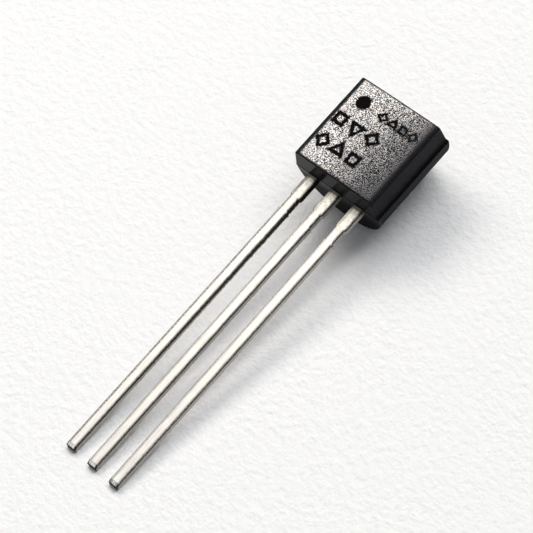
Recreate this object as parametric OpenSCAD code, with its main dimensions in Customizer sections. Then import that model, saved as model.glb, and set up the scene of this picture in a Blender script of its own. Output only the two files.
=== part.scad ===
// Three-lead transistor in a moulded case, lying as it comes to rest on its back.
//
// It is worked out flat first. X runs across the leads, from the emitter lead to the
// collector lead. Y runs along them: the tips are at -Y and the case is at +Y, with its
// lead end at Y = 0. Z comes out of the flat face. Z = 0 is the parting plane, where the
// two halves of the mould met, and the front of the lead frame lies in it.
// The whole part is then tipped until the lead tips and the heel of the case touch the
// ground, and moved so that the origin is below the middle of it. Sizes are millimetres.

/* [Case] */
// Width of the flat face, to the sharp corners that its round rim replaces
flat_w = 4.28; // [3.8:0.01:4.4]
// Draft of the two sides of the front half, degrees
side_draft = 5.5; // [1:0.5:10]
// Draft of the two ends of the front half, degrees
end_draft = 4.5; // [1:0.5:10]
// Draft of the two ends of the back half, degrees
back_draft = 2; // [0.5:0.5:8]
// Round on the two side edges of the flat face
side_rim_r = 0.18; // [0.03:0.01:0.25]
// Round on the two end edges of the flat face
end_rim_r = 0.07; // [0.03:0.01:0.2]
// How much wider the back half is than the front half, on each side
side_step = 0.055; // [0.02:0.005:0.2]
// How much longer the back half is than the front half, at each end
end_step = 0.015; // [0.005:0.005:0.1]
// Height of the case along the leads, at the parting plane
case_h = 4.6; // [4.3:0.01:5.3]
// Thickness of the case, from the flat face to the crown of the back
case_t = 3.54; // [3.2:0.01:4.1]
// Depth of the front half, from the flat face to the parting plane
front_t = 1.12; // [0.9:0.01:1.4]

/* [Marks of the mould] */
// How far the back half of the mould stood off the front half, across the leads
mould_shift_x = 0.05; // [0:0.005:0.1]
// How far it stood off along the leads, away from their tips
mould_shift_y = 0.015; // [0:0.005:0.05]
// Diameter of the ejector pin's mark on the crown of the back
ejector_d = 1; // [0.6:0.05:1.4]
// Depth of the ejector pin's mark below the crown
ejector_depth = 0.08; // [0.04:0.01:0.15]
// Width of the broken gate on the end away from the leads
gate_w = 0.9; // [0.4:0.05:1.5]
// Height of the broken gate, from the parting plane into the back half
gate_t = 0.25; // [0.1:0.01:0.4]
// How far the broken gate stands proud of the end
gate_proud = 0.04; // [0.01:0.01:0.1]

/* [Leads] */
// Distance from one lead to the next
pitch = 1.27; // [1.17:0.01:1.4]
// Width of a lead
lead_w = 0.45; // [0.36:0.01:0.56]
// Thickness of the lead frame
lead_t = 0.38; // [0.3:0.01:0.5]
// Length of the emitter lead outside the case
lead_len = 15.32; // [12:0.01:20]
// How much longer each lead was cut than the one before it
cut_step = 0.045; // [0:0.005:0.1]
// Width of a lead's shoulder, next to the case
shoulder_w = 0.53; // [0.46:0.01:0.7]
// Length of the shoulder outside the case
shoulder_len = 1.2; // [0.6:0.05:2]
// Length of the stretch where the bar that tied the leads was punched away
punch_len = 0.76; // [0.4:0.01:1.2]
// Width of a lead along that stretch
punch_w = 0.42; // [0.34:0.01:0.5]
// How far the burr left by the punch stands out on each side
burr = 0.04; // [0.01:0.01:0.08]
// Length of the burr
burr_len = 0.14; // [0.06:0.01:0.3]
// Length of the slope that the shears left on the front of a tip
tip_slope_len = 0.18; // [0.05:0.01:0.4]
// Depth of that slope
tip_slope_t = 0.1; // [0.02:0.01:0.2]

/* [Lead frame in the case] */
// How far a post or the pad is wider than the shoulder, on its outer side
ear = 0.2; // [0.05:0.01:0.3]
// Gap between one piece of the frame and the next
frame_gap = 0.34; // [0.2:0.01:0.4]
// Distance from the lead end of the case to the base post
base_post_y = 1.2; // [0.9:0.01:1.4]
// Width of the base post
base_post_w = 1; // [0.7:0.01:1.2]
// Length of the base post
base_post_len = 0.6; // [0.4:0.01:0.8]
// Width of the pad that carries the die
pad_w = 2.3; // [1.8:0.01:2.4]
// Length of the pad
pad_len = 1.8; // [1.4:0.01:1.9]
// Length of the emitter post
emitter_post_len = 0.9; // [0.6:0.01:1.2]
// Diameter of the hole in the pad that the moulding compound fills
lock_hole_d = 0.6; // [0.3:0.01:0.7]
// Distance from the outer edge and the far edge of the pad to the middle of that hole
lock_hole_in = 0.5; // [0.4:0.01:0.7]
// Radius of the notches that lock each lead into the case
notch_r = 0.08; // [0.04:0.01:0.12]
// Distance from the lead end of the case to the notches
notch_y = 0.6; // [0.4:0.01:0.8]

/* [Die and wires] */
// Side of the square die
die_side = 0.7; // [0.4:0.01:0.9]
// Thickness of the die
die_t = 0.2; // [0.12:0.01:0.3]
// Distance from the pad's inner edge and near edge to the die
die_in = 0.22; // [0.1:0.01:0.3]
// Thickness of the solder below the die
solder_t = 0.03; // [0.01:0.01:0.05]
// How far the solder runs out round the die
solder_out = 0.05; // [0.02:0.01:0.08]
// Distance from the die's edges to the middle of a bond
bond_in = 0.15; // [0.1:0.01:0.18]
// Diameter of the bond wires
wire_d = 0.03; // [0.02:0.005:0.04]
// Rise of a wire's loop above the straight line between its ends
wire_rise = 0.3; // [0.15:0.01:0.4]
// Diameter of the ball on the die
ball_d = 0.09; // [0.06:0.01:0.12]
// Height of the ball, and of the flattened foot at the other end
ball_h = 0.04; // [0.03:0.005:0.06]
// Diameter of the flattened foot
foot_d = 0.12; // [0.08:0.01:0.16]

/* [Hidden] */
$fn = 96;

// Length that carries a cut right through or out of a piece
past = 1;

// Front half at the parting plane, and the circle of the back, which runs through the
// two outer corners of the back half and its crown
front_w = flat_w + 2 * front_t * tan(side_draft);
back_w = front_w + 2 * side_step;
back_t = case_t - front_t;
back_r = (pow(back_w / 2, 2) + pow(back_t, 2)) / (2 * back_t);

// Ends of the back half at the parting plane, and how far they lean in at the crown
back_near_y = mould_shift_y - end_step;
back_far_y = case_h + end_step + mould_shift_y;
back_lean = back_t * tan(back_draft);

// Lead frame: edges of the posts and the pad
outer_x = pitch + shoulder_w / 2 + ear;
pad_x = outer_x - pad_w;
pad_y = base_post_y + base_post_len + frame_gap;
emitter_post_y = pad_y;
emitter_post_w = outer_x + pad_x - frame_gap;

// Die: its corner on the pad, its top, and the bonds
die_x = pad_x + die_in;
die_y = pad_y + die_in;
die_top = solder_t + die_t;
base_bond = [die_x + bond_in, die_y + bond_in];
base_foot = [0, base_post_y + base_post_len / 2];
emitter_bond = [die_x + bond_in, die_y + die_side - bond_in];
emitter_foot = [emitter_post_w / 2 - outer_x, emitter_post_y + emitter_post_len / 2];

// Rest: the heel is the crown's edge at the lead end, and the longest lead's tip is the
// other support
heel_y = back_near_y + back_lean;
reach = lead_len + 2 * cut_step;
rest_tilt = atan((back_t - lead_t) / (reach + heel_y));
rest_lift = back_t * cos(rest_tilt) - heel_y * sin(rest_tilt);
rest_near_y = tip_slope_t * sin(rest_tilt) - reach * cos(rest_tilt);
rest_far_y = max((back_far_y + gate_proud) * cos(rest_tilt),
                 (back_far_y - back_lean) * cos(rest_tilt) + back_t * sin(rest_tilt));

// Widest reach of the case to each side
left_x = min(-front_w / 2, mould_shift_x - back_r);
right_x = max(front_w / 2, mould_shift_x + back_r);

// Tips the part on to its heel and lead tips, with the origin below its middle
module at_rest() {
    translate([-(left_x + right_x) / 2, -(rest_near_y + rest_far_y) / 2, rest_lift])
        rotate([rest_tilt, 0, 0])
            children();
}

// Outline in the X-Y plane of a drafted block: top_w wide at the height h and wider at
// Y = 0, with its two top corners rounded
module drafted_outline(top_w, h, draft, r) {
    base_w = top_w + 2 * h * tan(draft);
    round_x = top_w / 2 - r * (1 - sin(draft)) / cos(draft);
    side_x = round_x + r * cos(draft);
    side_y = h - r + r * sin(draft);
    polygon([
        [-base_w / 2, 0], [base_w / 2, 0], [side_x, side_y],
        [round_x, h], [-round_x, h], [-side_x, side_y]
    ]);
    for (side = [-1, 1])
        translate([side * round_x, h - r])
            circle(r = r);
}

// Runs a Y-Z outline across the part, centred on X = 0
module across(w) {
    rotate([90, 0, 90])
        linear_extrude(w, center = true)
            children();
}

// Front half of the case: drafted on all four sides, with a round rim
module front_half() {
    intersection() {
        translate([0, case_h / 2, 0])
            rotate([90, 0, 0])
                linear_extrude(case_h + past, center = true)
                    drafted_outline(flat_w, front_t, side_draft, side_rim_r);
        across(front_w + past)
            translate([case_h / 2, 0])
                drafted_outline(case_h - 2 * front_t * tan(end_draft), front_t, end_draft, end_rim_r);
    }
}

// Back half of the case: a round back with drafted ends, as far off the front half as its
// mould stood
module back_half() {
    intersection() {
        translate([mould_shift_x, -past, back_r - back_t])
            rotate([-90, 0, 0])
                cylinder(r = back_r, h = back_far_y + 2 * past);
        across(2 * back_r + past)
            polygon([
                [back_near_y, 0], [back_far_y, 0],
                [back_far_y - back_lean, -back_t], [heel_y, -back_t]
            ]);
    }
}

// Stub where the runner of the mould broke away
module gate_stub() {
    translate([mould_shift_x - gate_w / 2, back_far_y - gate_t, -gate_t])
        cube([gate_w, gate_t + gate_proud, gate_t]);
}

// Flat-bottomed mark of the pin that pushed the case out of the mould
module ejector_mark() {
    translate([mould_shift_x, (back_near_y + back_far_y) / 2, -back_t - past])
        cylinder(d = ejector_d, h = past + ejector_depth);
}

// Half widths of a lead along Y, from its tip to the stretch where it enters the case
function lead_edge(length) = [
    [lead_w / 2, -length],
    [lead_w / 2, -shoulder_len - punch_len - burr_len],
    [lead_w / 2 + burr, -shoulder_len - punch_len],
    [punch_w / 2, -shoulder_len - punch_len],
    [punch_w / 2, -shoulder_len],
    [shoulder_w / 2, -shoulder_len],
    [shoulder_w / 2, 0]
];

// Outline of a lead about its own middle, from its tip to end_y inside the case
module lead_outline(length, end_y) {
    edge = concat(lead_edge(length), [[shoulder_w / 2, end_y]]);
    last = len(edge) - 1;
    difference() {
        polygon(concat(edge, [for (i = [last:-1:0]) [-edge[i].x, edge[i].y]]));
        for (side = [-1, 1])
            translate([side * shoulder_w / 2, notch_y])
                circle(r = notch_r);
    }
}

// Cuts the sheared slope off the front of a tip that lies at Y = -length
module sheared_tip(length) {
    difference() {
        children();
        across(4 * pitch)
            polygon([
                [-length - past, past], [-length - past, -tip_slope_t], [-length, -tip_slope_t],
                [tip_slope_len - length, 0], [tip_slope_len - length, past]
            ]);
    }
}

// One piece of the lead frame, blanked from the sheet: a lead at x, and whatever 2D
// children spread out from it inside the case
module blanked(x, length, end_y) {
    sheared_tip(length)
        translate([0, 0, -lead_t])
            linear_extrude(lead_t) {
                translate([x, 0])
                    lead_outline(length, end_y);
                children();
            }
}

module emitter_frame() {
    blanked(-pitch, lead_len, emitter_post_y)
        translate([-outer_x, emitter_post_y])
            square([emitter_post_w, emitter_post_len]);
}

module base_frame() {
    blanked(0, lead_len + cut_step, base_post_y)
        translate([-base_post_w / 2, base_post_y])
            square([base_post_w, base_post_len]);
}

module collector_frame() {
    blanked(pitch, lead_len + 2 * cut_step, pad_y)
        difference() {
            translate([pad_x, pad_y])
                square([pad_w, pad_len]);
            translate([outer_x - lock_hole_in, pad_y + pad_len - lock_hole_in])
                circle(d = lock_hole_d);
        }
}

module solder_block() {
    translate([die_x - solder_out, die_y - solder_out, 0])
        cube([die_side + 2 * solder_out, die_side + 2 * solder_out, solder_t]);
}

module die_block() {
    translate([die_x, die_y, solder_t])
        cube([die_side, die_side, die_t]);
}

// Bond wire: a ball on the die, one round loop, and a flattened foot on a post. The loop
// is an arc in the upright plane through both ends.
module bond_wire(bond, foot) {
    run = norm(foot - bond);
    heading = atan2(foot.y - bond.y, foot.x - bond.x);
    slope = atan2(-die_top, run);
    chord = norm([run, die_top]);
    loop_r = (pow(chord / 2, 2) + pow(wire_rise, 2)) / (2 * wire_rise);
    half_turn = asin(chord / 2 / loop_r);
    drop = loop_r - wire_rise;
    translate([bond.x, bond.y, wire_d / 2])
        rotate([0, 0, heading])
            translate([run / 2 + drop * sin(slope), 0, die_top / 2 - drop * cos(slope)])
                rotate([90, 0, 0])
                    rotate([0, 0, 90 + slope - half_turn])
                        rotate_extrude(angle = 2 * half_turn)
                            translate([loop_r, 0])
                                circle(d = wire_d);
    translate([bond.x, bond.y, die_top])
        cylinder(d = ball_d, h = ball_h);
    translate([foot.x, foot.y, 0])
        cylinder(d = foot_d, h = ball_h);
}

// Everything that the moulding compound was pressed round
module encased() {
    emitter_frame();
    base_frame();
    collector_frame();
    solder_block();
    die_block();
    bond_wire(base_bond, base_foot);
    bond_wire(emitter_bond, emitter_foot);
}

module case() {
    color([0.13, 0.13, 0.14])
        at_rest()
            difference() {
                union() {
                    front_half();
                    back_half();
                    gate_stub();
                }
                ejector_mark();
                encased();
            }
}

module emitter_lead() {
    color([0.84, 0.82, 0.77])
        at_rest()
            emitter_frame();
}

module base_lead() {
    color([0.84, 0.82, 0.77])
        at_rest()
            base_frame();
}

module collector_lead() {
    color([0.84, 0.82, 0.77])
        at_rest()
            collector_frame();
}

module die() {
    color([0.30, 0.31, 0.36])
        at_rest()
            die_block();
}

module die_solder() {
    color([0.62, 0.62, 0.64])
        at_rest()
            solder_block();
}

module base_wire() {
    color([0.90, 0.70, 0.28])
        at_rest()
            bond_wire(base_bond, base_foot);
}

module emitter_wire() {
    color([0.90, 0.70, 0.28])
        at_rest()
            bond_wire(emitter_bond, emitter_foot);
}

case();
emitter_lead();
base_lead();
collector_lead();
die();
die_solder();
base_wire();
emitter_wire();
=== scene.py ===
import math
import bmesh
import bpy
import numpy as np
from mathutils import Matrix, Vector


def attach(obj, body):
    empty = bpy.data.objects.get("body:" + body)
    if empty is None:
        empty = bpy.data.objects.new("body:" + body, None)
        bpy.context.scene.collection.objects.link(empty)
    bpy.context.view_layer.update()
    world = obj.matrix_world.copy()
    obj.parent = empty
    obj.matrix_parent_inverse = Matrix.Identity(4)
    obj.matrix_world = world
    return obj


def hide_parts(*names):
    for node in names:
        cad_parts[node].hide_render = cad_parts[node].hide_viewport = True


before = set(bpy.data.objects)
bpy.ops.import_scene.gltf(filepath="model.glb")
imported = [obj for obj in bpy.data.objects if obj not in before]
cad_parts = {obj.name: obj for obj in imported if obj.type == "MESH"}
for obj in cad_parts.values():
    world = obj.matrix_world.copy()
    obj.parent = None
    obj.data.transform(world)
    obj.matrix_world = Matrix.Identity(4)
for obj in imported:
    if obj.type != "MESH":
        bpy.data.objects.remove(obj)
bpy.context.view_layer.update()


# Camera: held 9 cm off, above the collector side of the case, and rolled a little. The
# lens and the place were fitted to the corners of the case and the tips of the leads.
camera_place = Vector((0.037575, -0.027638, 0.077161))
camera_sight = Vector((-0.423716, 0.320605, -0.847158))
camera_roll = math.radians(-12.07)
camera_data = bpy.data.cameras.new("camera")
camera_data.sensor_width = 36
camera_data.lens = 144.69
camera_data.clip_start = 0.005
camera_data.clip_end = 10
camera = bpy.data.objects.new("camera", camera_data)
bpy.context.scene.collection.objects.link(camera)
level_camera = camera_sight.to_track_quat("-Z", "Y").to_matrix()
rolled_camera = level_camera @ Matrix.Rotation(camera_roll, 3, "Z")
camera.matrix_world = Matrix.Translation(camera_place) @ rolled_camera.to_4x4()
bpy.context.scene.camera = camera
bpy.context.scene.view_settings.view_transform = "Standard"


# Table top that the part lies on: pale coated board with a faint soft mottle. It is stage
# and no part of the object.
def new_material(name):
    """An empty material: returns it and its node tree."""
    material = bpy.data.materials.new(name)
    material.use_nodes = True
    tree = material.node_tree
    tree.nodes.clear()
    return material, tree


def add_node(tree, kind, inputs=(), **settings):
    """A node of that kind with its settings, and with each named input set or linked."""
    node = tree.nodes.new(kind)
    for key, value in settings.items():
        setattr(node, key, value)
    for key, value in dict(inputs).items():
        if isinstance(value, bpy.types.NodeSocket):
            tree.links.new(value, node.inputs[key])
        else:
            node.inputs[key].default_value = value
    return node


def add_noise(tree, place, scale, detail, roughness):
    """Fractal noise from 0 to 1 at that many waves per unit of place."""
    wanted = {"Vector": place, "Scale": scale, "Detail": detail, "Roughness": roughness}
    return add_node(tree, "ShaderNodeTexNoise", wanted).outputs["Fac"]


def add_ramp(tree, value, low, high, out_low=0.0, out_high=1.0):
    """Value carried from the span low to high on to out_low to out_high, held at both ends."""
    wanted = {"Value": value, "From Min": low, "From Max": high,
              "To Min": out_low, "To Max": out_high}
    return add_node(tree, "ShaderNodeMapRange", wanted).outputs["Result"]


def add_blend(tree, share, first, second):
    """A colour between first and second: share 0 gives the first."""
    node = add_node(tree, "ShaderNodeMix", data_type="RGBA")
    sockets = [s for s in node.inputs if s.enabled]
    for socket, value in zip(sockets, (share, first, second)):
        if isinstance(value, bpy.types.NodeSocket):
            tree.links.new(value, socket)
        else:
            socket.default_value = value
    return next(s for s in node.outputs if s.enabled)


def add_bump(tree, height, depth, under=None):
    """A normal from a height between 0 and 1 that stands for depth in metres."""
    wanted = {"Height": height, "Distance": depth, "Strength": 1.0}
    if under is not None:
        wanted["Normal"] = under
    return add_node(tree, "ShaderNodeBump", wanted).outputs["Normal"]


def finish_material(tree, **inputs):
    """Principled surface with those inputs, spaces for underscores, joined to the output."""
    named = {key.replace("_", " "): value for key, value in inputs.items()}
    surface = add_node(tree, "ShaderNodeBsdfPrincipled", named)
    output = add_node(tree, "ShaderNodeOutputMaterial")
    tree.links.new(surface.outputs[0], output.inputs["Surface"])


table_half = 1.5
table_mesh = bpy.data.meshes.new("table_top")
table_corners = np.array([[-1, -1, 0], [1, -1, 0], [1, 1, 0], [-1, 1, 0]]) * table_half
table_mesh.from_pydata(table_corners.tolist(), [], [(0, 1, 2, 3)])
table_top = bpy.data.objects.new("table_top", table_mesh)
bpy.context.scene.collection.objects.link(table_top)
board, tree = new_material("coated_board")
board_place = add_node(tree, "ShaderNodeTexCoord").outputs["Object"]
board_mottle = add_noise(tree, board_place, 3000.0, 2.0, 0.5)
board_fibres = add_noise(tree, board_place, 6500.0, 2.0, 0.6)
board_shade = add_ramp(tree, board_mottle, 0.35, 0.65)
board_colour = add_blend(tree, board_shade, (0.94, 0.94, 0.935, 1), (0.955, 0.955, 0.95, 1))
board_normal = add_bump(tree, board_fibres, 0.00003, add_bump(tree, board_mottle, 0.00008))
finish_material(tree, Base_Color=board_colour, Roughness=0.8, Normal=board_normal)
table_mesh.materials.append(board)


# Light: one broad soft lamp on the emitter side, whose upper edge is mirrored across the
# flat, in a room that is pale overhead and dim low down. Together they show a colour about
# as it is written. The camera and glossy surfaces also see a pale backdrop on the lead side.
def add_maths(tree, operation, first, second=0.0):
    """One sum, product or comparison of two numbers."""
    node = add_node(tree, "ShaderNodeMath", {0: first, 1: second}, operation=operation)
    return node.outputs["Value"]


def times(tree, *values):
    """Product of several numbers."""
    product = values[0]
    for value in values[1:]:
        product = add_maths(tree, "MULTIPLY", product, value)
    return product


lamp_data = bpy.data.lights.new("soft_lamp", "AREA")
lamp_data.shape = "RECTANGLE"
lamp_data.size = 0.256
lamp_data.size_y = 0.128
lamp_data.energy = 0.56
lamp_data.color = (1.0, 0.965, 0.91)
lamp = bpy.data.objects.new("soft_lamp", lamp_data)
bpy.context.scene.collection.objects.link(lamp)
lamp_place = Vector((-0.1851, 0.0704, 0.2542))
lamp_aim = (Vector((0, 0.003, 0.002)) - lamp_place).to_track_quat("-Z", "Y")
lamp.matrix_world = Matrix.Translation(lamp_place) @ lamp_aim.to_matrix().to_4x4()
room = bpy.data.worlds.new("pale_room")
room.use_nodes = True
room.node_tree.nodes.clear()
bpy.context.scene.world = room
tree = room.node_tree
room_way = add_node(tree, "ShaderNodeTexCoord").outputs["Generated"]
pale_way = (0.068, 0.471, 0.88)
room_dim = (0.15, 0.158, 0.18, 1)
room_overhead = (3.86, 3.86, 3.86, 1)
backdrop_pale = (0.85, 0.85, 0.84, 1)
toward_pale = add_node(tree, "ShaderNodeVectorMath", {0: room_way, 1: pale_way},
                       operation="DOT_PRODUCT").outputs["Value"]
room_level = add_maths(tree, "POWER", add_ramp(tree, toward_pale, 0.8, 0.954), 4.0)
room_colour = add_blend(tree, room_level, room_dim, room_overhead)
room_parts = add_node(tree, "ShaderNodeSeparateXYZ", {"Vector": room_way}).outputs
backdrop = times(tree, add_ramp(tree, room_parts["Y"], -0.1, -0.5),
                 add_ramp(tree, room_parts["Z"], 0.6, 0.4))
ray_kind = add_node(tree, "ShaderNodeLightPath").outputs
seen = add_maths(tree, "MAXIMUM", ray_kind["Is Camera Ray"], ray_kind["Is Glossy Ray"])
backdrop = times(tree, backdrop, seen)
room_colour = add_blend(tree, backdrop, room_colour, backdrop_pale)
room_light = add_node(tree, "ShaderNodeBackground", {"Color": room_colour, "Strength": 1.0})
room_output = add_node(tree, "ShaderNodeOutputWorld")
tree.links.new(room_light.outputs[0], room_output.inputs["Surface"])


# Leads: emitter, base and collector, blanked from one strip of copper alloy and tinned. The
# bar that tied them was punched away, and the ends were sheared to length. Inside the case
# they spread into two posts and the pad for the die.
rest_tilt = math.radians(7.5004)
rest_shift = np.array([-0.05, 5.221304, 2.388263])
sharp_edge = math.radians(38)


def lie_down(points):
    """Points worked out flat, in millimetres, turned by the rest tilt about X, shifted and
    lifted on to the heel and the lead tips, in metres."""
    x, y, z = np.moveaxis(points, -1, 0)
    row_y = y * math.cos(rest_tilt) - z * math.sin(rest_tilt)
    row_z = y * math.sin(rest_tilt) + z * math.cos(rest_tilt)
    return (np.stack([x, row_y, row_z], axis=-1) + rest_shift) / 1000


def grid_faces(rows, columns, joined):
    """Four-sided faces of a grid numbered row by row; joined also links the last column to
    the first."""
    last = columns if joined else columns - 1
    row, column = np.meshgrid(np.arange(rows - 1), np.arange(last), indexing="ij")
    beside = (column + 1) % columns
    corners = [row * columns + column, row * columns + beside,
               (row + 1) * columns + beside, (row + 1) * columns + column]
    return np.stack(corners, axis=-1).reshape(-1, 4)


def add_piece(name, shells, material):
    """One mesh from shells, each a grid of points (rows, columns, 3) laid out flat and a flag
    for a joined last column. Points that coincide become one, and faces turn outward."""
    points, faces, count = [], [], 0
    for grid, joined in shells:
        rows, columns = grid.shape[:2]
        points.append(lie_down(grid).reshape(-1, 3))
        faces.append(grid_faces(rows, columns, joined) + count)
        count += rows * columns
    mesh = bpy.data.meshes.new(name)
    mesh.from_pydata(np.concatenate(points).tolist(), [], np.concatenate(faces).tolist())
    shape = bmesh.new()
    shape.from_mesh(mesh)
    bmesh.ops.remove_doubles(shape, verts=shape.verts, dist=2e-8)
    bmesh.ops.dissolve_degenerate(shape, edges=shape.edges, dist=1e-8)
    bmesh.ops.recalc_face_normals(shape, faces=shape.faces)
    shape.to_mesh(mesh)
    shape.free()
    mesh.shade_smooth()
    mesh.set_sharp_from_angle(angle=sharp_edge)
    mesh.materials.append(material)
    piece = bpy.data.objects.new(name, mesh)
    bpy.context.scene.collection.objects.link(piece)
    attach(piece, "root")
    return piece


def wander(seed, along, spacing):
    """Smooth random curve: one random height at every spacing, eased from each to the next."""
    heights = np.random.default_rng(seed).normal(size=int(np.ptp(along) / spacing) + 3)
    steps = (along - along.min()) / spacing
    before = steps.astype(int)
    share = steps - before
    share = share * share * (3 - 2 * share)
    return heights[before] * (1 - share) + heights[before + 1] * share


def flat_place(tree):
    """Object coordinates turned back to the flat layout, in millimetres."""
    turn_back = Matrix.Rotation(-rest_tilt, 3, "X")
    shift = -(turn_back @ Vector(rest_shift))
    place = add_node(tree, "ShaderNodeTexCoord").outputs["Object"]
    wanted = {"Vector": place, "Scale": (1000, 1000, 1000), "Rotation": (-rest_tilt, 0, 0),
              "Location": shift}
    return add_node(tree, "ShaderNodeMapping", wanted).outputs["Vector"]


def stretched(tree, place, scales):
    """The place with each axis scaled on its own, so that a noise on it runs in streaks."""
    wanted = {"Vector": place, "Scale": scales}
    return add_node(tree, "ShaderNodeMapping", wanted).outputs["Vector"]


lead_pitch = 1.27
lead_width = 0.45
lead_thickness = 0.38
emitter_length = 15.32
cut_step = 0.045
shoulder_width = 0.53
shoulder_length = 1.2
punch_length = 0.76
punch_width = 0.42
burr = 0.04
burr_length = 0.14
slope_length = 0.18
slope_depth = 0.1
front_edge_round = 0.07
back_edge_round = 0.02
notch_radius = 0.08
notch_place = 0.6
coat_end = 0.126
coat_depth = 0.012
coat_round = 0.1
cut_wander = (0.002, 0.0055)
nick_depth = 0.018
torn_lean = 0.006
post_outer_edge = lead_pitch + shoulder_width / 2 + 0.2
pad_width = 2.3
pad_length = 1.8
pad_place = 2.14
lock_hole = 0.6
lock_inset = 0.5
base_post_place = 1.2
base_post_width = 1.0
base_post_length = 0.6
emitter_post_width = 2 * post_outer_edge - pad_width - 0.34
emitter_post_length = 0.9


def strip_profile():
    """Outline of the strip across its length, as four factors: the flat part's share of the
    half width, the round's share of the corner radius, and the same two for the height."""
    turn = np.linspace(0, np.pi / 2, 6)
    top, side = np.linspace(1, -1, 9)[1:-1], np.linspace(1, -1, 8)[1:-1]
    none, corners = np.zeros, []
    for quarter, across, up in ((0, 1, 1), (1, -1, 1), (2, -1, -1), (3, 1, -1)):
        angle = turn + quarter * np.pi / 2
        corner = np.full_like(turn, across), np.cos(angle), np.full_like(turn, up), np.sin(angle)
        corners.append(np.stack(corner))
    edge_top = np.stack([top, none(7), np.ones(7), np.ones(7)])
    edge_left = np.stack([-np.ones(6), -np.ones(6), side, none(6)])
    edge_back = np.stack([-top, none(7), -np.ones(7), -np.ones(7)])
    edge_right = np.stack([np.ones(6), np.ones(6), -side, none(6)])
    parts = [corners[0], edge_top, corners[1], edge_left,
             corners[2], edge_back, corners[3], edge_right]
    return np.concatenate(parts, axis=1)


def nicks(seed, along):
    """Small dents, most of them far apart: what a smooth random curve has above a level."""
    return nick_depth * np.clip(wander(seed, along, 0.07) - 1.4, 0, 1)


def lead_strip(seed, x, length, end, post_left=None, post_right=None, post_length=0.0):
    """The strip's profile carried from the sheared tip to the end of the post. Its two edges
    and its front are functions of the place along it: cut width with a little wander, burrs,
    the punched stretch, the shoulder, a pair of notches, then the post. The stretches give
    each place where the spacing of the profiles changes, its span and the spacing."""
    slope_end = slope_length + 0.02
    stretches = [(-length, slope_end, 0.01), (slope_end - length, length - 2.4, 0.03),
                 (-2.2, 1.2, 0.0125), (-1.0, 0.7, 0.03), (-0.3, 0.4, 0.0125), (0.13, 0.35, 0.05),
                 (0.5, 0.2, 0.0125), (0.72, end - 0.74, 0.06)]
    places = [np.arange(start, start + span, step) for start, span, step in stretches]
    y = np.unique(np.concatenate([*places, [end]]))
    ends_y = -shoulder_length - punch_length
    knots = np.array([[-length, lead_width / 2],
                      [ends_y - burr_length, lead_width / 2],
                      [ends_y - 0.035, lead_width / 2 + burr],
                      [ends_y - 0.015, lead_width / 2 + burr],
                      [ends_y + 0.01, punch_width / 2],
                      [-shoulder_length - 0.03, punch_width / 2],
                      [-shoulder_length, shoulder_width / 2 - 0.01],
                      [0.06 - shoulder_length, shoulder_width / 2],
                      [end, shoulder_width / 2]])
    half = np.interp(y, knots[:, 0], knots[:, 1])
    notch = np.sqrt(np.clip(notch_radius**2 - (y - notch_place) ** 2, 0, None))
    rough = np.clip(-y / 0.2, 0, 1)
    left_rough = cut_wander[0] * wander(seed, y, 0.05) + nicks(seed + 1, y)
    left = x - half + notch + rough * left_rough
    right_rough = cut_wander[1] * wander(seed + 2, y, 0.06) + nicks(seed + 3, y)
    right = x + half - notch - rough * right_rough
    if post_length:
        reach = np.array([end + 0.002, *np.linspace(end + 0.05, end + post_length, 12)])
        y = np.concatenate([y, reach])
        left = np.concatenate([left, np.full(13, post_left)])
        right = np.concatenate([right, np.full(13, post_right)])
    outside = np.clip(-y / 0.2, 0, 1)
    cut = np.clip(1 - (y + length) / slope_length, 0, 1)
    bare = np.clip((y + coat_end + 0.02) / 0.03, 0, 1)
    front = -slope_depth * cut - coat_depth * bare + outside * 0.001 * wander(seed + 4, y, 0.5)
    back = -lead_thickness - outside * 0.001 * wander(seed + 5, y, 0.4)
    front_round = front_edge_round * (1 - 0.6 * np.clip(cut * 4, 0, 1))
    flat_x, round_x, flat_z, round_z = strip_profile()
    radius = back_edge_round + (front_round[:, None] - back_edge_round) * (flat_z + 1) / 2
    middle, half = (left + right)[:, None] / 2, (right - left)[:, None] / 2
    level, deep = (front + back)[:, None] / 2, (front - back)[:, None] / 2
    sideways = np.sign(round_x) * (np.abs(round_x) > 0.5)
    torn = torn_lean * np.clip(-flat_z, 0, 1) * sideways * outside[:, None]
    across = middle + (half - radius) * flat_x + radius * round_x + torn
    height = level + (deep - radius) * flat_z + radius * round_z
    along = np.repeat(y[:, None], flat_x.size, axis=1)
    grid = np.stack([across, along, height], axis=-1)
    return close_ends(grid, seed)


def close_ends(grid, seed):
    """Adds rings that shrink to a point over both ends of the strip. The outer end is torn:
    its rings lean out and back by small random amounts, most at the back edge."""
    shares = np.array([0.0, 0.3, 0.6, 0.85])[:, None, None]
    tip = grid[0].mean(axis=0) + (grid[0] - grid[0].mean(axis=0)) * shares
    inner = grid[-1].mean(axis=0) + (grid[-1] - grid[-1].mean(axis=0)) * shares[::-1]
    tear = np.random.default_rng(seed + 9).normal(size=tip.shape[:2]) * torn_lean
    tip[1:, :, 1] += tear[1:] - 0.012 * (1 - shares[1:, :, 0])
    depth = (grid[0, :, 2] - grid[0, :, 2].max()) / lead_thickness
    ragged = wander(seed + 10, np.arange(grid.shape[1], dtype=float), 2.3)
    grid[0, :, 1] += 0.014 * depth + 0.009 * ragged
    return np.concatenate([tip, grid, inner])


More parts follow.
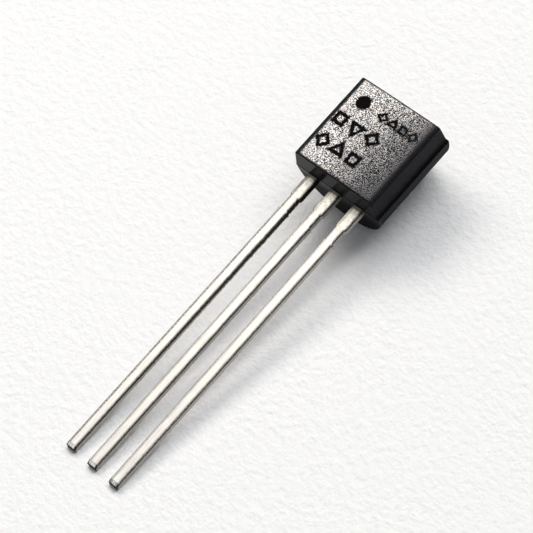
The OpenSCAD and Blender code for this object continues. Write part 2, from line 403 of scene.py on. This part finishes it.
def pad_plate(x, y, width, length, hole, hole_x, hole_y):
    """Plate round a hole: at each angle about the hole its section runs from the hole's
    circle out to the rectangle, front and back."""
    corner_x = np.array([x, x + width] * 2) - hole_x
    corner_y = np.array([y, y, y + length, y + length]) - hole_y
    corner_angle = np.arctan2(corner_y, corner_x)
    angle = np.sort(np.concatenate([np.linspace(-np.pi, np.pi, 97)[:-1], corner_angle]))
    way = np.stack([np.cos(angle), np.sin(angle)])
    far_x = np.where(way[0] > 0, x + width - hole_x, hole_x - x) / np.maximum(np.abs(way[0]), 1e-9)
    far_y = np.where(way[1] > 0, y + length - hole_y, hole_y - y) / np.maximum(np.abs(way[1]), 1e-9)
    outer = np.minimum(far_x, far_y)[:, None]
    share = np.array([0, 0, 0.02, 0.98, 1, 1, 0.98, 0.02])
    height = -lead_thickness * np.array([0.95, 0.05, 0, 0, 0.05, 0.95, 1, 1])
    reach = hole / 2 + (outer - hole / 2) * share
    across = hole_x + reach * way[0][:, None]
    along = hole_y + reach * way[1][:, None]
    grid = np.stack([across, along, np.broadcast_to(height, across.shape)], axis=-1)
    return np.concatenate([grid, grid[:1]])


def add_distance(tree, first, second):
    """Distance whose parts in two directions at right angles are first and second."""
    squares = add_maths(tree, "ADD", times(tree, first, first), times(tree, second, second))
    return add_maths(tree, "SQRT", squares)


tin_grey = (0.48, 0.47, 0.445, 1)
tin_white = (0.66, 0.65, 0.625, 1)
tin_cream = (0.55, 0.50, 0.41, 1)
tin_stained = (0.41, 0.38, 0.30, 1)
bare_alloy = (0.24, 0.225, 0.17, 1)
cut_and_shade_dark = (0.012, 0.008, 0.006, 1)
cut_pale = (0.45, 0.43, 0.40, 1)
painted_edge_dark = (0.08, 0.07, 0.06, 1)
slope_grey = (0.42, 0.41, 0.39, 1)
slope_lit_white = (0.99, 0.98, 0.96, 1)
painted_tip_rim_shade = (0.02, 0.016, 0.013, 1)
tin, tree = new_material("tinned_strip")
tin_place = flat_place(tree)
tin_parts = add_node(tree, "ShaderNodeSeparateXYZ", {"Vector": tin_place}).outputs
tin_streaks = add_noise(tree, stretched(tree, tin_place, (22, 0.9, 22)), 1.0, 3.0, 0.6)
tin_mottle = add_noise(tree, tin_place, 5.0, 3.0, 0.6)
tin_grain = add_noise(tree, tin_place, 26.0, 2.0, 0.6)
lead_number = add_maths(tree, "ROUND", add_maths(tree, "DIVIDE", tin_parts["X"], lead_pitch))
lead_middle = times(tree, lead_number, lead_pitch)
from_middle = add_maths(tree, "SUBTRACT", tin_parts["X"], lead_middle)
off_middle = add_maths(tree, "ABSOLUTE", from_middle)
tin_bright = add_blend(tree, add_ramp(tree, tin_streaks, 0.3, 0.7), tin_grey, tin_white)
cream_edge = times(tree, add_ramp(tree, off_middle, 0.1, 0.2),
                   add_ramp(tree, tin_mottle, 0.35, 0.6))
tin_bright = add_blend(tree, cream_edge, tin_bright, tin_cream)
near_case = times(tree, add_ramp(tree, tin_parts["Y"], -2.6, -0.4),
                  add_ramp(tree, tin_mottle, 0.45, 0.6))
tin_bright = add_blend(tree, near_case, tin_bright, tin_stained)
past_side = add_maths(tree, "SUBTRACT", off_middle, coat_round)
past_end = add_maths(tree, "ADD", tin_parts["Y"], coat_end + coat_round)
past_coat = add_distance(tree, add_maths(tree, "MAXIMUM", past_side, 0.0),
                         add_maths(tree, "MAXIMUM", past_end, 0.0))
bare_end = times(tree, add_ramp(tree, past_coat, 0.095, 0.115),
                 add_maths(tree, "GREATER_THAN", tin_parts["Y"], -0.3))
tin_top = add_blend(tree, bare_end, tin_bright, bare_alloy)
from_tip = add_maths(tree, "ADD", tin_parts["Y"], emitter_length + cut_step)
from_tip = add_maths(tree, "ADD", from_tip, times(tree, lead_number, cut_step))
slope_drop = add_ramp(tree, from_tip, 0.0, slope_length, slope_depth, 0.0)
below_top = add_maths(tree, "ADD", tin_parts["Z"], slope_drop)
ragged = add_maths(tree, "ADD", below_top, add_ramp(tree, tin_grain, 0.3, 0.7, -0.02, 0.02))
# Sheared side below the top: near-black down to a ragged depth, paler below. The near-black band is
# partly the cut zone's own colour and partly painted shade.
on_side = times(tree, add_ramp(tree, ragged, -0.03, -0.05),
                add_maths(tree, "GREATER_THAN", from_tip, 0.02))
first_lead = add_maths(tree, "LESS_THAN", lead_number, -0.5)
first_lead_y = times(tree, first_lead, tin_parts["Y"])
# Painted shade: on the first lead the near-black band of the side reaches deeper, over most of the
# side near the case.
lead_one_shade_depth = times(tree, add_ramp(tree, first_lead_y, -12.5, -0.6, 0.02, 0.2), first_lead)
paler = add_ramp(tree, add_maths(tree, "ADD", ragged, lead_one_shade_depth), -0.11, -0.17)
side_colour = add_blend(tree, paler, cut_and_shade_dark, cut_pale)
# Painted reflection: a ragged dark line along the left edge of each lead's top, strongest on the
# first lead.
off_edge = add_maths(tree, "ABSOLUTE", add_maths(tree, "ADD", ragged, 0.006))
left_half = add_maths(tree, "LESS_THAN", from_middle, -0.1)
painted_edge_line = times(tree, add_ramp(tree, off_edge, 0.016, 0.004), left_half)
painted_edge_line = times(tree, painted_edge_line, add_ramp(tree, first_lead, 0.0, 1.0, 0.6, 1.0))
tin_top = add_blend(tree, painted_edge_line, tin_top, painted_edge_dark)
# Tip slope: streaked between grey and near-white. The streaks are the shear's own; the near-white
# is painted light that makes the facet look lit. A painted shade rim darkens its side edges and its
# far end.
tip_streaks = add_noise(tree, stretched(tree, tin_place, (15, 2, 5)), 1.0, 2.0, 0.6)
tip_shade = add_ramp(tree, tip_streaks, 0.42, 0.58)
tip_colour = add_blend(tree, tip_shade, slope_grey, slope_lit_white)
tip_rim_shade = add_maths(tree, "MAXIMUM", add_ramp(tree, off_middle, 0.155, 0.185),
                   add_ramp(tree, from_tip, 0.05, 0.02))
tip_colour = add_blend(tree, tip_rim_shade, tip_colour, painted_tip_rim_shade)
at_tip = add_ramp(tree, from_tip, 0.2, 0.14)
tin_top = add_blend(tree, at_tip, tin_top, tip_colour)
tin_colour = add_blend(tree, on_side, tin_top, side_colour)
tin_rough = add_ramp(tree, tin_grain, 0.3, 0.7, 0.4, 0.52)
tin_normal = add_bump(tree, tin_grain, 0.000002, add_bump(tree, tin_streaks, 0.000002))
tin_rough = add_maths(tree, "ADD", tin_rough, times(tree, at_tip, 0.3))
tin_metal = add_maths(tree, "SUBTRACT", 1.0, times(tree, at_tip, 0.7))
finish_material(tree, Base_Color=tin_colour, Metallic=tin_metal, Roughness=tin_rough,
                Normal=tin_normal)

emitter_strip = lead_strip(11, -lead_pitch, emitter_length, pad_place, -post_outer_edge,
                           emitter_post_width - post_outer_edge, emitter_post_length)
emitter_piece = add_piece("emitter_strip", [(emitter_strip, True)], tin)
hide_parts("emitter_lead")
base_strip = lead_strip(31, 0.0, emitter_length + cut_step, base_post_place,
                        -base_post_width / 2, base_post_width / 2, base_post_length)
base_piece = add_piece("base_strip", [(base_strip, True)], tin)
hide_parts("base_lead")
collector_strip = lead_strip(51, lead_pitch, emitter_length + 2 * cut_step, pad_place)
collector_pad = pad_plate(post_outer_edge - pad_width, pad_place, pad_width, pad_length, lock_hole,
                          post_outer_edge - lock_inset, pad_place + pad_length - lock_inset)
collector_shells = [(collector_strip, True), (collector_pad, True)]
collector_piece = add_piece("collector_strip", collector_shells, tin)
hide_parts("collector_lead")


# Solder under the die: soft solder that melted between the die and the pad and ran out
# round the die in a hollow slope.
die_side = 0.7
die_inset = 0.22
die_corner = np.array([post_outer_edge - pad_width + die_inset, pad_place + die_inset])
die_middle = die_corner + die_side / 2
solder_height = 0.03
solder_run = 0.05


def square_rings(middle, halves, heights, steps=16):
    """Square rings about a middle, one for each half width and height, from the first ring
    to the last; a half width of nothing closes that end."""
    side = np.linspace(-1, 1, steps + 1)[:-1]
    ones = np.ones(steps)
    across = np.concatenate([side, ones, -side, -ones])
    along = np.concatenate([-ones, side, ones, -side])
    outline = np.stack([across, along], axis=-1)
    flat = middle + outline * np.asarray(halves)[:, None, None]
    height = np.broadcast_to(np.asarray(heights)[:, None, None], flat.shape[:2] + (1,))
    return np.concatenate([flat, height], axis=-1)


solder_turn = np.linspace(0, np.pi / 2, 6)
solder_halves = die_side / 2 + solder_run * (1 - np.sin(solder_turn))
solder_heights = solder_height * (1 - np.cos(solder_turn))
solder_grid = square_rings(die_middle, [0, *solder_halves, 0], [0, *solder_heights, solder_height])
solder, tree = new_material("soft_solder")
solder_place = flat_place(tree)
solder_frost = add_noise(tree, solder_place, 30.0, 3.0, 0.6)
solder_colour = add_blend(tree, solder_frost, (0.50, 0.50, 0.52, 1), (0.68, 0.68, 0.70, 1))
solder_rough = add_ramp(tree, solder_frost, 0.3, 0.7, 0.3, 0.5)
solder_normal = add_bump(tree, solder_frost, 0.000002)
finish_material(tree, Base_Color=solder_colour, Metallic=1.0, Roughness=solder_rough,
                Normal=solder_normal)
solder_piece = add_piece("die_solder_layer", [(solder_grid, True)], solder)
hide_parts("die_solder")


# Die: a square of silicon, sawn from the wafer and soldered to the pad. Two raised metal
# lands on top take the base and emitter wires.
die_thickness = 0.2
die_top = solder_height + die_thickness
bond_inset = 0.15
base_bond = die_corner + bond_inset
emitter_bond = die_corner + np.array([bond_inset, die_side - bond_inset])
land_half = 0.085
land_rise = 0.004


def die_surface():
    """Square rings for the sawn sides and the back, then a height field for the top that
    stands land_rise higher over the two lands."""
    sides = square_rings(die_middle, [0, die_side / 2, die_side / 2],
                         [solder_height, solder_height, die_top], 48)
    span = np.linspace(-0.5, 0.5, 49) * die_side
    x, y = np.meshgrid(die_middle[0] + span, die_middle[1] + span, indexing="ij")
    height = np.full_like(x, die_top)
    for bond in (base_bond, emitter_bond):
        away = np.maximum(np.abs(x - bond[0]), np.abs(y - bond[1]))
        height += land_rise * (away < land_half)
    return [(sides, True), (np.stack([x, y, height], axis=-1), False)]


silicon, tree = new_material("silicon_chip")
silicon_place = flat_place(tree)
silicon_parts = add_node(tree, "ShaderNodeSeparateXYZ", {"Vector": silicon_place}).outputs
on_land = add_maths(tree, "GREATER_THAN", silicon_parts["Z"], die_top + land_rise / 2)
saw_marks = add_noise(tree, stretched(tree, silicon_place, (4, 4, 120)), 1.0, 2.0, 0.5)
silicon_plain = add_blend(tree, saw_marks, (0.20, 0.21, 0.26, 1), (0.30, 0.31, 0.35, 1))
silicon_colour = add_blend(tree, on_land, silicon_plain, (0.86, 0.86, 0.85, 1))
silicon_rough = add_ramp(tree, saw_marks, 0.3, 0.7, 0.12, 0.24)
finish_material(tree, Base_Color=silicon_colour, Metallic=0.9, Roughness=silicon_rough)
die_piece = add_piece("silicon_die", die_surface(), silicon)
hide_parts("die")


# Bond wires: fine drawn gold. Each is welded to its land by a squashed ball, loops over
# the edge of the die, and is pressed flat on its post.
wire_radius = 0.015
wire_rise = 0.3
ball_radius = 0.045
ball_height = 0.04
foot_radius = 0.06


def wire_loop(bond, foot):
    """A circle carried along an arc in the upright plane through both ends. Its radius is
    the wire's own."""
    run = np.hypot(*(foot - bond))
    slope = math.atan2(-die_top, run)
    chord = math.hypot(run, die_top)
    loop_radius = ((chord / 2) ** 2 + wire_rise**2) / (2 * wire_rise)
    half_turn = math.asin(chord / 2 / loop_radius)
    drop = loop_radius - wire_rise
    turn = np.linspace(half_turn, -half_turn, 48)[:, None] + slope + np.pi / 2
    around = np.linspace(0, 2 * np.pi, 13)[:-1]
    reach = loop_radius + wire_radius * np.cos(around)
    along = run / 2 + drop * math.sin(slope) + reach * np.cos(turn)
    height = wire_radius + die_top / 2 - drop * math.cos(slope) + reach * np.sin(turn)
    heading = (foot - bond) / run
    side = wire_radius * np.sin(around)
    x = bond[0] + heading[0] * along - heading[1] * side
    y = bond[1] + heading[1] * along + heading[0] * side
    grid = np.stack([x, y, height], axis=-1)
    start = np.broadcast_to(grid[:1].mean(axis=1, keepdims=True), grid[:1].shape)
    end = np.broadcast_to(grid[-1:].mean(axis=1, keepdims=True), grid[-1:].shape)
    return np.concatenate([start, grid, end])


def pressed_dome(middle, radius, bottom, height, squareness):
    """A squashed ball: circles whose radius follows a rounded curve from the bottom to the
    top, where both ends close."""
    rise = np.linspace(0, np.pi, 15)[:, None]
    around = np.linspace(0, 2 * np.pi, 25)[:-1]
    reach = radius * np.sin(rise) ** squareness
    level = bottom + height * (1 - np.cos(rise)) / 2
    x = middle[0] + reach * np.cos(around)
    y = middle[1] + reach * np.sin(around)
    return np.stack([x, y, np.broadcast_to(level, x.shape)], axis=-1)


gold, tree = new_material("drawn_gold")
gold_place = flat_place(tree)
gold_grain = add_noise(tree, gold_place, 60.0, 2.0, 0.5)
gold_colour = add_blend(tree, gold_grain, (0.90, 0.64, 0.24, 1), (0.98, 0.76, 0.36, 1))
gold_rough = add_ramp(tree, gold_grain, 0.3, 0.7, 0.16, 0.28)
finish_material(tree, Base_Color=gold_colour, Metallic=1.0, Roughness=gold_rough)
base_foot = np.array([0.0, base_post_place + base_post_length / 2])
emitter_foot = np.array([emitter_post_width / 2 - post_outer_edge,
                         pad_place + emitter_post_length / 2])
wires = (("base_wire", base_bond, base_foot), ("emitter_wire", emitter_bond, emitter_foot))
for name, bond, foot in wires:
    ball = pressed_dome(bond, ball_radius, die_top, ball_height, 0.6)
    pressed_foot = pressed_dome(foot, foot_radius, 0.0, ball_height, 0.8)
    shells = [(wire_loop(bond, foot), True), (ball, True), (pressed_foot, True)]
    wire_piece = add_piece(name + "_bonded", shells, gold)
    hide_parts(name)


# Case: black filled epoxy, moulded in one shot round the leads in a mould of two halves that
# stood a little off each other. The front half is drafted on four sides and has a
# spark-eroded flat; the round back shows the ejector pin's mark and the broken gate.
flat_width = 4.28
side_draft = math.radians(5.5)
end_draft = math.radians(4.5)
back_draft = math.radians(2)
side_rim = 0.18
end_rim = 0.07
side_step = 0.055
case_height = 4.6
back_far = 4.63
front_depth = 1.12
back_depth = 3.54 - front_depth
mould_shift = 0.05
edge_round = 0.025
step_fillet = 0.05
front_half_width = flat_width / 2 + front_depth * math.tan(side_draft)
back_half_width = front_half_width + side_step
back_radius = (back_half_width**2 + back_depth**2) / (2 * back_depth)
back_centre = back_radius - back_depth
crown_across = 0.035
crown_along = 0.012
pin_diameter = 1.0
pin_depth = 0.08
pin_wall = 0.012
gate_width = 0.9
gate_thickness = 0.25
gate_proud = 0.04
flash_proud = 0.008
flash_spread = 0.012
lip_proud = 0.02
lip_spread = 0.04
flat_count = 65
rim_count = 12
side_count = 14


def arc(centre, radius, start, end, count, hollow=False):
    """Points on an arc and the way out of the case at each; a hollow arc's way out is toward
    its centre."""
    turn = np.linspace(start, end, count)[:, None]
    way = np.concatenate([np.cos(turn), np.sin(turn)], axis=1)
    return np.array(centre) + radius * way, -way if hollow else way


def line(start, end, way, count):
    """Points on a straight line without its two ends, and one way out for all."""
    share = np.linspace(0, 1, count + 2)[1:-1, None]
    points = np.array(start) * (1 - share) + np.array(end) * share
    return points, np.broadcast_to(np.array(way, float), points.shape)


def half_section(shift):
    """One side of the section across the leads, from the middle out, as two chains of points
    that end in one: the flat, its rim, the drafted side, the fillet and the step above; the
    round back and its corner below. The back's circle stands the shift further out. Each
    point has its way out."""
    ledge = back_half_width + shift - front_half_width
    corner, fillet = min(edge_round, ledge / 3), min(step_fillet, ledge / 2)
    slant = (1 - math.sin(side_draft)) / math.cos(side_draft)
    rim_x = flat_width / 2 - side_rim * slant
    fillet_x = front_half_width + fillet * slant
    corner_x = shift + math.sqrt((back_radius - corner) ** 2 - (back_centre + corner) ** 2)
    corner_turn = math.atan2(-corner - back_centre, corner_x - shift)
    flat_x = np.linspace(0, rim_x, flat_count + 1)[:-1]
    flat_points = np.stack([flat_x, np.full(flat_count, front_depth)], axis=1)
    flat = flat_points, np.tile([0.0, 1.0], (flat_count, 1))
    rim = arc((rim_x, front_depth - side_rim), side_rim, np.pi / 2, side_draft, rim_count)
    hollow = arc((fillet_x, fillet), fillet, side_draft + np.pi, 1.5 * np.pi, 5, hollow=True)
    side_way = math.cos(side_draft), math.sin(side_draft)
    side = line(rim[0][-1], hollow[0][0], side_way, side_count)
    upper_corner = arc((corner_x, -corner), corner, np.pi / 2, np.pi / 4, 4)
    step = line(hollow[0][-1], upper_corner[0][0], (0, 1), 3)
    chain = zip(flat, rim, side, hollow, step, upper_corner)
    upper, upper_way = (np.concatenate(part) for part in chain)
    to_side = flat_count + rim_count + side_count
    turn = np.arcsin((upper[:to_side, 0] - shift) / back_radius)
    turn = np.concatenate([turn, np.linspace(turn[-1], np.pi / 2 + corner_turn, 10)[1:]])
    lower_way = np.stack([np.sin(turn), -np.cos(turn)], axis=1)
    under = arc((corner_x, -corner), corner, corner_turn, np.pi / 4, 4)
    lower = np.concatenate([lower_way * back_radius + [shift, back_centre], under[0][1:]])
    return upper, upper_way, lower, np.concatenate([lower_way, under[1][1:]])


def end_lean(height):
    """How far an end of the case leans in at a height above or below the parting plane."""
    return np.where(height > 0, height * math.tan(end_draft), -height * math.tan(back_draft))


def near_lead(x, z):
    """Distance from a point on the lead end to the nearest lead's edge; nothing inside it."""
    off_x = np.abs(x - lead_pitch * np.clip(np.round(x / lead_pitch), -1, 1)) - shoulder_width / 2
    off_z = np.abs(z + lead_thickness / 2) - lead_thickness / 2
    return np.hypot(np.clip(off_x, 0, None), np.clip(off_z, 0, None))


def case_surface():
    """Three grids that close on each other. The first carries the section from end to end:
    it shrinks along its ways out over each rounded edge, while the place along follows a
    quarter circle. The other two run over an end, from the flat's edge down to the parting
    plane and on to the back's edge."""
    left, right = half_section(-mould_shift), half_section(mould_shift)
    upper, upper_way, lower, lower_way = (
        np.concatenate([one[:0:-1] * [-1, 1], other]) for one, other in zip(left, right))
    count = len(upper)
    from_edge = np.minimum(np.arange(count), np.arange(count)[::-1])
    # Counted from the parting edge, 12 points lead to the drafted side and 26 to the rim.
    round_above = np.interp(from_edge, [12, 26, 32], [edge_round, 0.04, end_rim])
    ring = np.concatenate([upper, lower[-2:0:-1]])
    way = np.concatenate([upper_way, lower_way[-2:0:-1]])
    radius = np.concatenate([round_above, np.full(len(lower) - 2, edge_round)])
    far_above = np.where(from_edge > 7, case_height, back_far)
    far = np.concatenate([far_above, np.full(len(lower) - 2, back_far)])
    along = np.concatenate([np.linspace(0, 0.37, 22)[:-1], np.linspace(0.37, 0.63, 48),
                            np.linspace(0.63, 1, 22)[1:]])
    turn = np.linspace(np.pi / 2, 0, 7)[:-1]
    turn = np.concatenate([turn, np.zeros(along.size), turn[::-1]])[:, None]
    along = np.concatenate([np.zeros(6), along, np.ones(6)])[:, None]
    inset = (1 - np.cos(turn)) * radius
    x = ring[:, 0] - inset * way[:, 0]
    z = ring[:, 1] - inset * way[:, 1]
    lean = end_lean(z) + radius * (1 - np.sin(turn))
    y = lean * (1 - along) + (far - lean) * along
    crown = crown_across * (2 * x / flat_width) ** 2 + crown_along * (2 * y / case_height - 1) ** 2
    z = z - crown * np.clip(z / front_depth, 0, 1) ** 8
    x, y, z = pin_mark(x, y, z)
    body = np.stack([x, y, z], axis=-1)
    grids = [(body, True)]
    for row, outward in ((0, -1), (-1, 1)):
        above = body[row, :count]
        below = np.concatenate([above[-1:], body[row, count:], above[:1]])[::-1]
        grids.append((end_face(above, below, outward), False))
    return grids


def pin_mark(x, y, z):
    """Presses the flat-bottomed mark of the ejector pin into the crown: points within its
    circle drop to its floor, and those beside the circle move on to it."""
    middle_y = back_far / 2
    away_x, away_y = x - mould_shift, y - middle_y
    distance = np.hypot(away_x, away_y)
    edge = pin_diameter / 2
    crown = z < -back_depth + 0.3
    wanted = np.where(distance > edge, edge, edge - pin_wall)
    near_edge = crown & (np.abs(distance - edge) < 0.02)
    moved = np.where(near_edge, wanted / np.maximum(distance, 1e-9), 1.0)
    away_x, away_y = away_x * moved, away_y * moved
    surface = back_centre - np.sqrt(back_radius**2 - np.clip(np.abs(away_x), 0, 1) ** 2)
    z = np.where(moved != 1, surface, z)
    inside = crown & (np.hypot(away_x, away_y) < edge - pin_wall / 2)
    z = np.where(inside, pin_depth - back_depth, z)
    return away_x + mould_shift, away_y + middle_y, z


def end_face(above, below, outward):
    """Grid over one end: each line starts on the flat's edge, goes straight down to the
    parting plane and on to the back's edge. A fine ridge of flash stands on the parting
    plane; a lip rises round each lead, or the broken gate stands out."""
    middle = above * [1, 1, 0] + np.minimum(above, 0) * [0, 0, 1]
    up = np.array([1, 0.97, 0.92, 0.84, 0.74, 0.64, 0.54, 0.44, 0.34,
                   0.26, 0.19, 0.13, 0.09, 0.06, 0.035, 0.02, 0.01, 0])
    down = np.concatenate([[0, 0.004, 0.009, 0.016], np.arange(0.025, 0.2, 0.0125),
                           np.linspace(0.22, 1, 16)])
    upper = middle + (above - middle) * up[:, None, None]
    lower = middle + (below - middle) * down[:, None, None]
    upper[..., 1] = above[:, 1] + outward * (end_lean(above[:, 2]) - end_lean(upper[..., 2]))
    lower[..., 1] = below[:, 1] + outward * (end_lean(below[:, 2]) - end_lean(lower[..., 2]))
    x, y, z = np.moveaxis(np.concatenate([upper, lower]), -1, 0)
    inner = np.clip((2.2 - np.abs(x)) / 0.1, 0, 1)
    if outward < 0:
        flash = flash_proud * np.exp(-((z / flash_spread) ** 2)) * inner
        out = flash + lip_proud * np.exp(-((near_lead(x, z) / lip_spread) ** 2))
    else:
        gate_x = np.clip((gate_width / 2 + 0.02 - np.abs(x - mould_shift)) / 0.03, 0, 1)
        gate_z = np.clip(-z / 0.02, 0, 1) * np.clip((gate_thickness + 0.02 + z) / 0.03, 0, 1)
        out = gate_proud * gate_x * gate_z * np.random.default_rng(83).uniform(0.55, 1.0, x.shape)
    return np.stack([x, y + outward * out, z], axis=-1)


side_black = (0.004, 0.004, 0.005, 1)
side_grey = (0.019, 0.019, 0.024, 1)
painted_back_shade = (0.001, 0.001, 0.0015, 1)
parting_seam_shade = (0.001, 0.001, 0.001, 1)
spark_warm = (0.360, 0.318, 0.287, 1)
spark_cool = (0.290, 0.318, 0.350, 1)
spark_dull = (0.240, 0.239, 0.246, 1)
pit_black = (0.012, 0.010, 0.010, 1)
mark_black = (0.004, 0.003, 0.003, 1)
epoxy, tree = new_material("filled_epoxy")
epoxy_place = flat_place(tree)
epoxy_parts = add_node(tree, "ShaderNodeSeparateXYZ", {"Vector": epoxy_place}).outputs
from_centre = add_maths(tree, "SUBTRACT", epoxy_parts["Y"], case_height / 2)
along_flat = add_maths(tree, "ABSOLUTE", from_centre)
spark_grain = add_noise(tree, epoxy_place, 23.0, 1.0, 0.5)
grain_fray = add_ramp(tree, spark_grain, 0.35, 0.65, -0.04, 0.04)
frayed_x = add_maths(tree, "ADD", epoxy_parts["X"], grain_fray)
on_flat = times(tree, add_ramp(tree, frayed_x, -1.93, -1.87), add_ramp(tree, frayed_x, 2.02, 1.68),
                add_ramp(tree, along_flat, 2.18, 2.11),
                add_maths(tree, "GREATER_THAN", epoxy_parts["Z"], front_depth / 2))
spark_tint = add_noise(tree, epoxy_place, 13.0, 1.0, 0.5)
satin_grain = add_noise(tree, epoxy_place, 22.0, 2.0, 0.6)
handling = add_noise(tree, epoxy_place, 1.5, 4.0, 0.65)
fray = add_maths(tree, "ADD", add_noise(tree, epoxy_place, 11.0, 2.0, 0.7), satin_grain)
mark_fray = add_ramp(tree, fray, 0.7, 1.3, -0.045, 0.045)


def mark_outline(x, y, size, sides, turn, half_stroke):
    """Share of laser mark on the outline of a shape with that many equal sides. Its edge lies
    where the distance from the middle, times the cosine of the angle to the way that the
    nearest side faces, is the size."""
    off_x = add_maths(tree, "SUBTRACT", epoxy_parts["X"], x)
    off_y = add_maths(tree, "SUBTRACT", epoxy_parts["Y"], y)
    reach = add_distance(tree, off_x, off_y)
    angle = add_maths(tree, "ADD", add_maths(tree, "ARCTAN2", off_y, off_x), 4 * math.pi - turn)
    wedge = add_maths(tree, "FLOORED_MODULO", angle, 2 * math.pi / sides)
    from_side = add_maths(tree, "SUBTRACT", wedge, math.pi / sides)
    inward = times(tree, reach, add_maths(tree, "COSINE", from_side))
    from_line = add_maths(tree, "ABSOLUTE", add_maths(tree, "SUBTRACT", inward, size))
    frayed = add_maths(tree, "ADD", from_line, mark_fray)
    return add_ramp(tree, frayed, half_stroke + 0.015, half_stroke - 0.015)


point_up = 3, -math.pi / 6
point_down = 3, math.pi / 6
square = 4, math.pi / 4
diamond = 4, 0.0
mark_rows = (
    {"y": 3.47, "first_x": -0.09, "pitch": 0.54, "scale": 0.56,
     "shapes": ((diamond, 0.25), (point_up, 0.2), (square, 0.27), (diamond, 0.25))},
    {"y": 2.40, "first_x": -1.56, "pitch": 0.88, "scale": 0.92,
     "shapes": ((square, 0.25), (point_down, 0.19), (diamond, 0.23))},
    {"y": 1.20, "first_x": -1.52, "pitch": 0.84, "scale": 0.92,
     "shapes": ((diamond, 0.23), (point_up, 0.18), (square, 0.24))})
dot_radius = 0.34
laser_marks = mark_outline(-1.25, 3.55, dot_radius / 2, 30, 0.0, dot_radius / 2)
for row in mark_rows:
    half_stroke = 0.035 + row["scale"] * 0.055
    for number, ((sides, turn), size) in enumerate(row["shapes"]):
        mark_x = row["first_x"] + number * row["pitch"]
        outline = mark_outline(mark_x, row["y"], row["scale"] * size, sides, turn, half_stroke)
        laser_marks = add_maths(tree, "MAXIMUM", laser_marks, outline)
fainter = add_ramp(tree, epoxy_parts["X"], 0.4, 1.7, 1.0, 0.8)
laser_marks = times(tree, laser_marks, on_flat, fainter)
epoxy_sides = add_blend(tree, add_ramp(tree, satin_grain, 0.35, 0.65), side_black, side_grey)
height_fray = add_ramp(tree, satin_grain, 0.3, 0.7, -0.02, 0.02)
ragged_height = add_maths(tree, "ADD", epoxy_parts["Z"], height_fray)
# A black band just below the parting plane: partly the seam's own dark line, partly painted shade
# along the step. It is also made rougher.
off_parting = add_maths(tree, "ABSOLUTE", add_maths(tree, "ADD", ragged_height, 0.03))
on_parting = add_ramp(tree, off_parting, 0.06, 0.03)
# Painted shade: from the parting plane down over the round back the sides turn nearly black. The
# same share also makes them rougher.
toward_back = add_ramp(tree, epoxy_parts["Z"], 0.0, -1.0, 0.0, 0.85)
epoxy_sides = add_blend(tree, toward_back, epoxy_sides, painted_back_shade)
epoxy_sides = add_blend(tree, on_parting, epoxy_sides, parting_seam_shade)
glint = add_blend(tree, add_ramp(tree, spark_tint, 0.4, 0.6), spark_warm, spark_cool)
glint = add_blend(tree, add_ramp(tree, handling, 0.35, 0.6), spark_dull, glint)
epoxy_flat = add_blend(tree, add_ramp(tree, spark_grain, 0.43, 0.57), pit_black, glint)
silvered = times(tree, on_flat, add_maths(tree, "SUBTRACT", 1.0, laser_marks))
epoxy_colour = add_blend(tree, silvered, epoxy_sides, epoxy_flat)
epoxy_colour = add_blend(tree, laser_marks, epoxy_colour, mark_black)
epoxy_rough = add_ramp(tree, silvered, 0.0, 1.0, 0.42, 0.14)
on_lead_end = add_ramp(tree, epoxy_parts["Y"], 0.13, 0.1)
epoxy_rough = add_maths(tree, "SUBTRACT", epoxy_rough, times(tree, on_lead_end, 0.2))
epoxy_rough = add_maths(tree, "ADD", epoxy_rough, times(tree, laser_marks, 0.45))
epoxy_rough = add_maths(tree, "ADD", epoxy_rough, times(tree, on_parting, 0.3))
epoxy_rough = add_maths(tree, "ADD", epoxy_rough, times(tree, toward_back, 0.4))
grain_height = times(tree, spark_grain, on_flat)
epoxy_normal = add_bump(tree, grain_height, 0.0000018, add_bump(tree, satin_grain, 0.000001))
epoxy_metal = times(tree, silvered, 0.85)
finish_material(tree, Base_Color=epoxy_colour, Metallic=epoxy_metal, Roughness=epoxy_rough,
                Specular_IOR_Level=0.05, Normal=epoxy_normal)
case_piece = add_piece("moulded_case", case_surface(), epoxy)
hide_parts("case")
